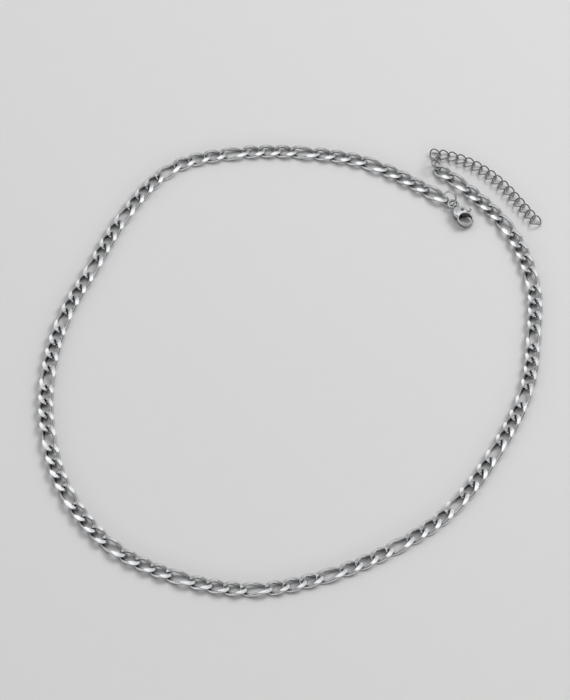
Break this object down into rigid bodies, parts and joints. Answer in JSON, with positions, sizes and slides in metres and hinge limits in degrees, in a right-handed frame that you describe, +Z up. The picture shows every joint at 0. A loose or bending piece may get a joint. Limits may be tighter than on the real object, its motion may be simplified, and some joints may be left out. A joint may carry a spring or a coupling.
{
  "type": "curb chain necklace",
  "caption": "Figaro curb chain necklace with short and long flat links, a lobster clasp and a fine extender chain, laid flat and open.",
  "frame": {"origin": "on the resting surface, under the middle of the bounding box", "axes": "+Z up from the surface, +X to the right of the clasp end, +Y away from the viewer, with the clasp and the extender at +X and +Y"},
  "size_m": [0.1363, 0.1502, 0.0034],
  "materials": {
    "polished_steel": "polished stainless steel with facets filed flat",
    "bright_steel": "polished stainless steel",
    "fine_steel": "polished stainless steel wire"
  },
  "bodies": {
    "necklace": {"chain_clasp_half": "polished_steel", "chain_extender_half": "polished_steel", "clasp_jump_ring": "bright_steel", "clasp_body": "bright_steel", "clasp_rivet": "fine_steel", "extender_jump_ring": "fine_steel", "extender_chain": "fine_steel"},
    "lever": {"clasp_lever": "bright_steel"}
  },
  "joints": [
    {"name": "clasp_lever_hinge", "type": "hinge", "parent": "necklace", "child": "lever", "pos_m": [0.04638, 0.05125, 0.00115], "axis": [0, 0, 1], "range_deg": [-22, 0], "stiffness_Nm_per_rad": 0.002, "springref_deg": 17.19}
  ]
}
